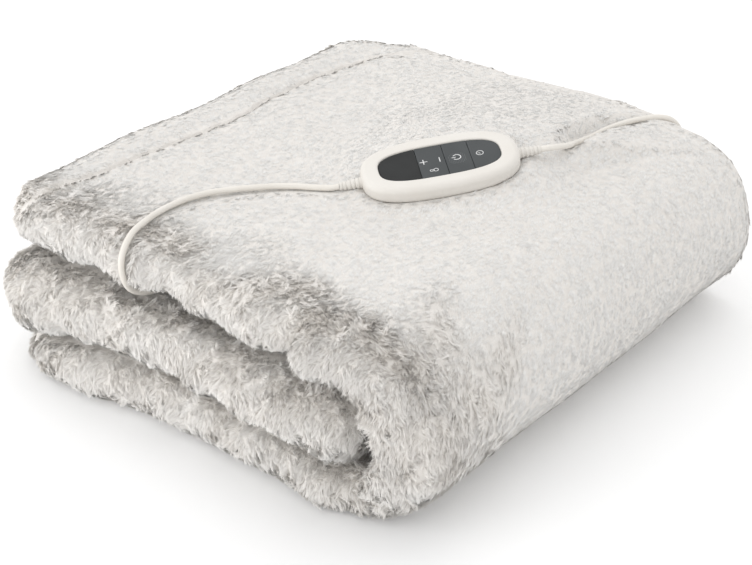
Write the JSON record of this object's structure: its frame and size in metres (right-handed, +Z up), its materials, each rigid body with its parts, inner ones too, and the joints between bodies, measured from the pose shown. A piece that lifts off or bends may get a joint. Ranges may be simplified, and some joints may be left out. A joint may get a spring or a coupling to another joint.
{
  "type": "electric heated blanket",
  "caption": "Folded deep-pile plush electric blanket, with an oval in-line controller lying on top and a mains lead that runs over the back edge to a coil and a plain plug.",
  "frame": {"origin": "middle of the folded bundle's footprint, on the surface that it lies on", "axes": "+Z up; the front of the folded layers faces -Y; the rounded end wrap is at +X"},
  "size_m": [0.4337, 0.594, 0.1747],
  "materials": {
    "plush": "deep soft pile, off-white",
    "cream": "satin moulded, warm cream",
    "window": "polished, near black",
    "key": "satin, mid grey with pale symbols",
    "lead": "smooth flexible sheath, cream",
    "plug": "satin moulded, warm cream",
    "pin": "bright plated metal"
  },
  "bodies": {
    "blanket_and_controller": {"blanket": "plush", "controller_housing": "cream", "display_window": "window", "relief_left": "cream", "relief_right": "cream", "lead_left": "lead", "lead_right": "lead", "lead_coil": "lead", "lead_tail": "lead", "plug_relief": "plug", "plug_body": "plug", "plug_pin_a": "pin", "plug_pin_b": "pin"},
    "level_rocker": {"level_key": "key"},
    "power_button": {"power_key": "key"},
    "timer_button": {"timer_key": "key"}
  },
  "joints": [
    {"name": "level_rock", "type": "hinge", "parent": "blanket_and_controller", "child": "level_rocker", "pos_m": [0.04701, 0.00997, 0.16203], "axis": [-0.7533, 0.6392, 0.1551], "range_deg": [-3, 3], "stiffness_Nm_per_rad": 0.2},
    {"name": "power_press", "type": "slide", "parent": "blanket_and_controller", "child": "power_button", "axis": [-0.0317, 0.2002, -0.9792], "range_m": [0, 0.0008], "stiffness_N_per_m": 1500},
    {"name": "timer_press", "type": "slide", "parent": "blanket_and_controller", "child": "timer_button", "axis": [-0.0317, 0.2002, -0.9792], "range_m": [0, 0.0008], "stiffness_N_per_m": 1500}
  ]
}
